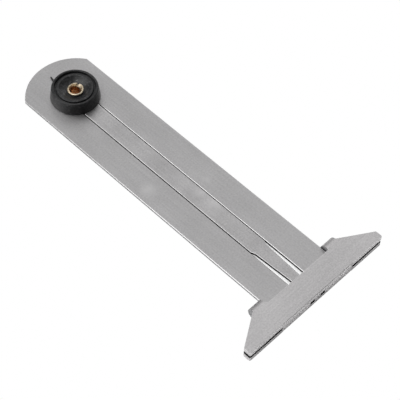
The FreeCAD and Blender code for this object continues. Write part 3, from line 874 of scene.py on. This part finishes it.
# %% Geometry Nodes: inputs of the tick scale
TICK_INPUTS = [("Count", "NodeSocketInt", 76), ("Spacing", FLOAT, 1.0 * MM), ("Short", FLOAT, 1.5 * MM),
               ("Middle", FLOAT, 2.2 * MM), ("Long", FLOAT, 3.0 * MM), ("Width", FLOAT, 0.16 * MM),
               ("Thickness", FLOAT, 0.02 * MM), ("Start", VECTOR, None)]

tick_tree = bpy.data.node_groups.new("tick_scale", "GeometryNodeTree")
for label, kind, default in TICK_INPUTS:
    socket = tick_tree.interface.new_socket(label, in_out="INPUT", socket_type=kind)
    if default is not None:
        socket.default_value = default
tick_tree.interface.new_socket("Geometry", in_out="OUTPUT", socket_type="NodeSocketGeometry")
given = tick_tree.nodes.new("NodeGroupInput")
result = tick_tree.nodes.new("NodeGroupOutput")
print("tick inputs:", [label for label, kind, default in TICK_INPUTS])

# %% [markdown]
# A line of points runs down the rail, every point becomes a thin bar, and the bar's length depends on the
# point's number: longest on every tenth, middling on every fifth. The tree ends by making the instances
# real and giving them the ink.

# %% Geometry Nodes: the tick marks
def every(number):
    """1 on each tick whose number divides evenly, else 0."""
    index = tick_tree.nodes.new("GeometryNodeInputIndex")
    rest = math_node(tick_tree, "MODULO", index.outputs[0], number)
    return math_node(tick_tree, "COMPARE", rest, 0.0, 0.1)


down = math_node(tick_tree, "MULTIPLY", given.outputs["Spacing"], -1.0)
step_down = add_node(tick_tree, "ShaderNodeCombineXYZ", Y=down)
points = add_node(tick_tree, "GeometryNodeMeshLine", {"mode": "OFFSET"}, Count=given.outputs["Count"],
                  Start_Location=given.outputs["Start"], Offset=step_down.outputs["Vector"])
middle_extra = math_node(tick_tree, "SUBTRACT", given.outputs["Middle"], given.outputs["Short"])
long_extra = math_node(tick_tree, "SUBTRACT", given.outputs["Long"], given.outputs["Middle"])
length = math_node(tick_tree, "MULTIPLY_ADD", every(5.0), middle_extra, given.outputs["Short"])
length = math_node(tick_tree, "MULTIPLY_ADD", every(10.0), long_extra, length)
bar = add_node(tick_tree, "GeometryNodeMeshCube", Size=(1.0, 1.0, 1.0))
bar_shift = add_node(tick_tree, "GeometryNodeTransform", Geometry=bar.outputs["Mesh"],
                     Translation=(-0.5, 0.0, 0.0))
bar_size = add_node(tick_tree, "ShaderNodeCombineXYZ", X=length, Y=given.outputs["Width"],
                    Z=given.outputs["Thickness"])
bars = add_node(tick_tree, "GeometryNodeInstanceOnPoints", Points=points.outputs["Mesh"],
                Instance=bar_shift.outputs["Geometry"], Scale=bar_size.outputs["Vector"])
real_bars = add_node(tick_tree, "GeometryNodeRealizeInstances", Geometry=bars.outputs["Instances"])
inked = add_node(tick_tree, "GeometryNodeSetMaterial", Geometry=real_bars.outputs["Geometry"],
                 Material=etched_ink)
tick_tree.links.new(inked.outputs["Geometry"], result.inputs["Geometry"])
print("tick tree:", len(tick_tree.nodes), "nodes")

# %% [markdown]
# The bars start beyond the washer's path, so nothing rubs on them, and they are a fiftieth of a millimetre
# thick with half of that sunk into the steel. The modifier's inputs are set by each socket's identifier
# before the object is first evaluated, and the result is frozen into a plain mesh.

# %% Place the tick marks
SCALE_ZERO = 88.0
SCALE_SIDE = -6.3
back_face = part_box("blade")[0].z / MM

tick_source = link("tick_source", bpy.data.meshes.new("tick_source"))
ticks_modifier = tick_source.modifiers.new("ticks", "NODES")
ticks_modifier.node_group = tick_tree
for socket in tick_tree.interface.items_tree:
    if socket.name == "Start":
        ticks_modifier[socket.identifier] = Vector((SCALE_SIDE, SCALE_ZERO, back_face)) * MM
ticks = frozen(tick_source, "scale_ticks")
print("tick faces:", len(ticks.data.polygons))

# %% [markdown]
# The numbers are plain text curves, given a hair of thickness and made into meshes before they are placed.
# Seen from the back the X axis runs the other way, so the text is turned half round the blade's long axis.

# %% Numbers
MARK_EVERY, LAST_NUMBER = 10, 70
NUMBER_SIZE, NUMBER_OFFSET, INK_HALF = 3.0, 4.5, 0.01
FACE_BACK = Matrix.Rotation(math.pi, 4, "Y") @ Matrix.Rotation(-math.pi / 2, 4, "Z")


def etched_number(number):
    """One number beside its long tick, as a mesh."""
    curve = bpy.data.curves.new(f"number_{number}", "FONT")
    curve.body = str(number)
    curve.size = NUMBER_SIZE * MM
    curve.extrude = INK_HALF * MM
    curve.align_x = "CENTER"
    curve.align_y = "CENTER"
    curve.resolution_u = 4
    source = bpy.data.objects.new(curve.name, curve)
    bpy.context.scene.collection.objects.link(source)
    piece = frozen(source, f"scale_number_{number}")
    spot = Vector((SCALE_SIDE - NUMBER_OFFSET, SCALE_ZERO - number, back_face)) * MM
    piece.data.transform(Matrix.Translation(spot) @ FACE_BACK)
    piece.data.materials.append(etched_ink)
    return piece


numbers = [etched_number(n) for n in range(0, LAST_NUMBER + 1, MARK_EVERY)]
print("numbers:", len(numbers))

# %% [markdown]
# The index line is one thin bar across the strip's back. At rest it is level with the scale's 0, because
# the probe's tip is then flush with the measuring face.

# %% Index line
LINE_LENGTH, LINE_WIDTH = 5.0, 0.2

line_shape = bmesh.new()
bmesh.ops.create_cube(line_shape, size=1.0)
line_size = Matrix.Diagonal((LINE_LENGTH * MM, LINE_WIDTH * MM, 2 * INK_HALF * MM, 1.0))
line_shape.transform(Matrix.Translation(Vector((0, SCALE_ZERO, back_face)) * MM) @ line_size)
index_line = link("index_line", made_mesh(line_shape, "index_line"), etched_ink)
print("index line at y, mm:", SCALE_ZERO)

# %% [markdown]
# ## What moves with what
#
# The blade and its foot are one body, and everything that slides with the knob is the other. A piece rides
# on a body by name, so the picture stays right wherever the strip is pushed.

# %% Ride on the bodies
for piece in (blade, foot, ticks, *numbers):
    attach(piece, "frame")
for piece in (strip, knob, rivet, washer, index_line):
    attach(piece, "slider")

# %% [markdown]
# ## The table
#
# The photograph's ground is pure white, right up to the outline. A table lit past white would eat into the
# thin edges of the gauge, because a pixel that is half table would come out white too. So the table answers
# each kind of ray in its own way: to the camera it glows at exactly 1, with painted shade that fades it
# where nearby surfaces close over it, as in the narrow gaps; metal that mirrors it sees a bright diffuse
# sheet; and all other light meets a plain pale paint. It lies a hundredth of a millimetre below the gauge.

# %% Table
TABLE_HALF = 1.5
TABLE_GAP = 0.01
OPEN_REACH, OPEN_GAIN = 6, 8.0

table_shape = bmesh.new()
bmesh.ops.create_grid(table_shape, x_segments=1, y_segments=1, size=TABLE_HALF)
table_shape.transform(Matrix.Translation((0, 0, solid_box[0][2] - TABLE_GAP * MM)))
table_paint, tree, shader, place = new_material("table_paint")
shader.inputs["Base Color"].default_value = grey(0.60)
shader.inputs["Roughness"].default_value = 0.9
shader.inputs["Specular IOR Level"].default_value = 0.1
# Painted shade: the glow is cut where ambient occlusion finds surfaces close above, as under the gaps.
table_occlusion = add_node(tree, "ShaderNodeAmbientOcclusion", {"samples": 8}, Distance=OPEN_REACH * MM)
unshaded_glow = math_node(tree, "MULTIPLY", table_occlusion.outputs["AO"], OPEN_GAIN, clamp=True)
white = add_node(tree, "ShaderNodeEmission", Color=grey(1), Strength=unshaded_glow)
bright = add_node(tree, "ShaderNodeBsdfDiffuse", Color=(1.45, 1.45, 1.45, 1))
ray = tree.nodes.new("ShaderNodeLightPath")
mirrored = add_node(tree, "ShaderNodeMixShader", _0=ray.outputs["Is Glossy Ray"],
                    _1=shader.outputs["BSDF"], _2=bright.outputs["BSDF"])
seen = add_node(tree, "ShaderNodeMixShader", _0=ray.outputs["Is Camera Ray"],
                _1=mirrored.outputs["Shader"], _2=white.outputs["Emission"])
tree.links.new(seen.outputs["Shader"], tree.nodes["Material Output"].inputs["Surface"])
link("white_table", made_mesh(table_shape, "white_table"), table_paint)
print("table paint:", len(tree.nodes), "nodes")

# %% [markdown]
# ## The room
#
# Bare metal shows only what it mirrors, so the room is the real light here. It is nearly dark, with soft
# round panels in it. Where each one hangs follows from the photograph: a bright edge or a grey face, and the
# way it leans, tell where the light comes from that it sends to the camera. One group draws a panel as a
# function of the direction: 1 towards its middle, fading smoothly to 0 at its rim. It adds the panels
# before it, so they can be chained.

# %% Group: sky panel
PANEL_REACH = math.radians(32)

sky_panel, given, result = new_group(
    "sky_panel",
    [(VECTOR, "Sight", None), (VECTOR, "Towards", None), (FLOAT, "Strength", 1.0), (FLOAT, "Others", 0.0)],
    [(FLOAT, "Glow")],
)
closeness = add_node(sky_panel, "ShaderNodeVectorMath", {"operation": "DOT_PRODUCT"},
                     _0=given.outputs["Sight"], _1=given.outputs["Towards"]).outputs["Value"]
disc = ramp(sky_panel, closeness, math.cos(PANEL_REACH), 1.0, "SMOOTHSTEP")
panel_glow = math_node(sky_panel, "MULTIPLY_ADD", disc, given.outputs["Strength"], given.outputs["Others"])
sky_panel.links.new(panel_glow, result.inputs["Glow"])
print("sky panel:", len(sky_panel.nodes), "nodes")

# %% [markdown]
# Ten panels are hung by azimuth, turning from +X to +Y, and elevation. The camera stands at azimuth 223, so
# the flat steel mirrors the room at azimuth 43, a little over halfway up: a middle grey. The bright panels
# high on the left lighten the dish and the brass, the low one on the left draws the light lines along the
# edges, and a weak one at the front lifts the folded edge of the foot.

# %% Sky
ROOM = 0.04
SKY_PANELS = [
    ("far right, near the horizon", 45, 8, 0.33),
    ("right, low", 22.5, 25, 0.90),
    ("far, low", 67.5, 25, 0.30),
    ("far right, halfway up", 45, 45, 0.27),
    ("far left, halfway up", 135, 45, 0.30),
    ("right, high", 0, 65, 0.45),
    ("far left, high", 120, 65, 1.70),
    ("left, high", 180, 65, 0.82),
    ("left, low", 154, 24, 1.4),
    ("front right, low", -62, 18, 0.35),
]

world = bpy.data.worlds.new("studio")
world.use_nodes = True
bpy.context.scene.world = world
tree = world.node_tree
direction = tree.nodes.new("ShaderNodeTexCoord").outputs["Generated"]
glow = ROOM
for label, azimuth, elevation, strength in SKY_PANELS:
    turn, lift = math.radians(azimuth), math.radians(elevation)
    towards = (math.cos(lift) * math.cos(turn), math.cos(lift) * math.sin(turn), math.sin(lift))
    panel = use_group(tree, sky_panel, Sight=direction, Towards=towards, Strength=strength, Others=glow)
    panel.label = label
    glow = panel.outputs["Glow"]
background = tree.nodes["Background"]
background.inputs["Color"].default_value = grey(1)
tree.links.new(glow, background.inputs["Strength"])
print("sky panels:", len(SKY_PANELS))

# %% [markdown]
# The one real lamp is small and weak. It stands high on the left and adds only what a broad panel can't: a
# spark on the rivet's rolled rim.

# %% Lamp
SPARK_PLACE = Vector((-0.29, 0.05, 0.95))
GAUGE_MIDDLE = Vector((0, 0.05, 0))
SPARK_SIZE, SPARK_POWER = 0.05, 0.3

lamp = bpy.data.lights.new("spark", "AREA")
lamp.size = SPARK_SIZE
lamp.energy = SPARK_POWER
spark = bpy.data.objects.new("spark", lamp)
spark.location = SPARK_PLACE
spark.rotation_mode = "QUATERNION"
spark.rotation_quaternion = (GAUGE_MIDDLE - SPARK_PLACE).to_track_quat("-Z", "Y")
bpy.context.scene.collection.objects.link(spark)
bpy.context.scene.view_settings.view_transform = "Standard"
print("studio ready")
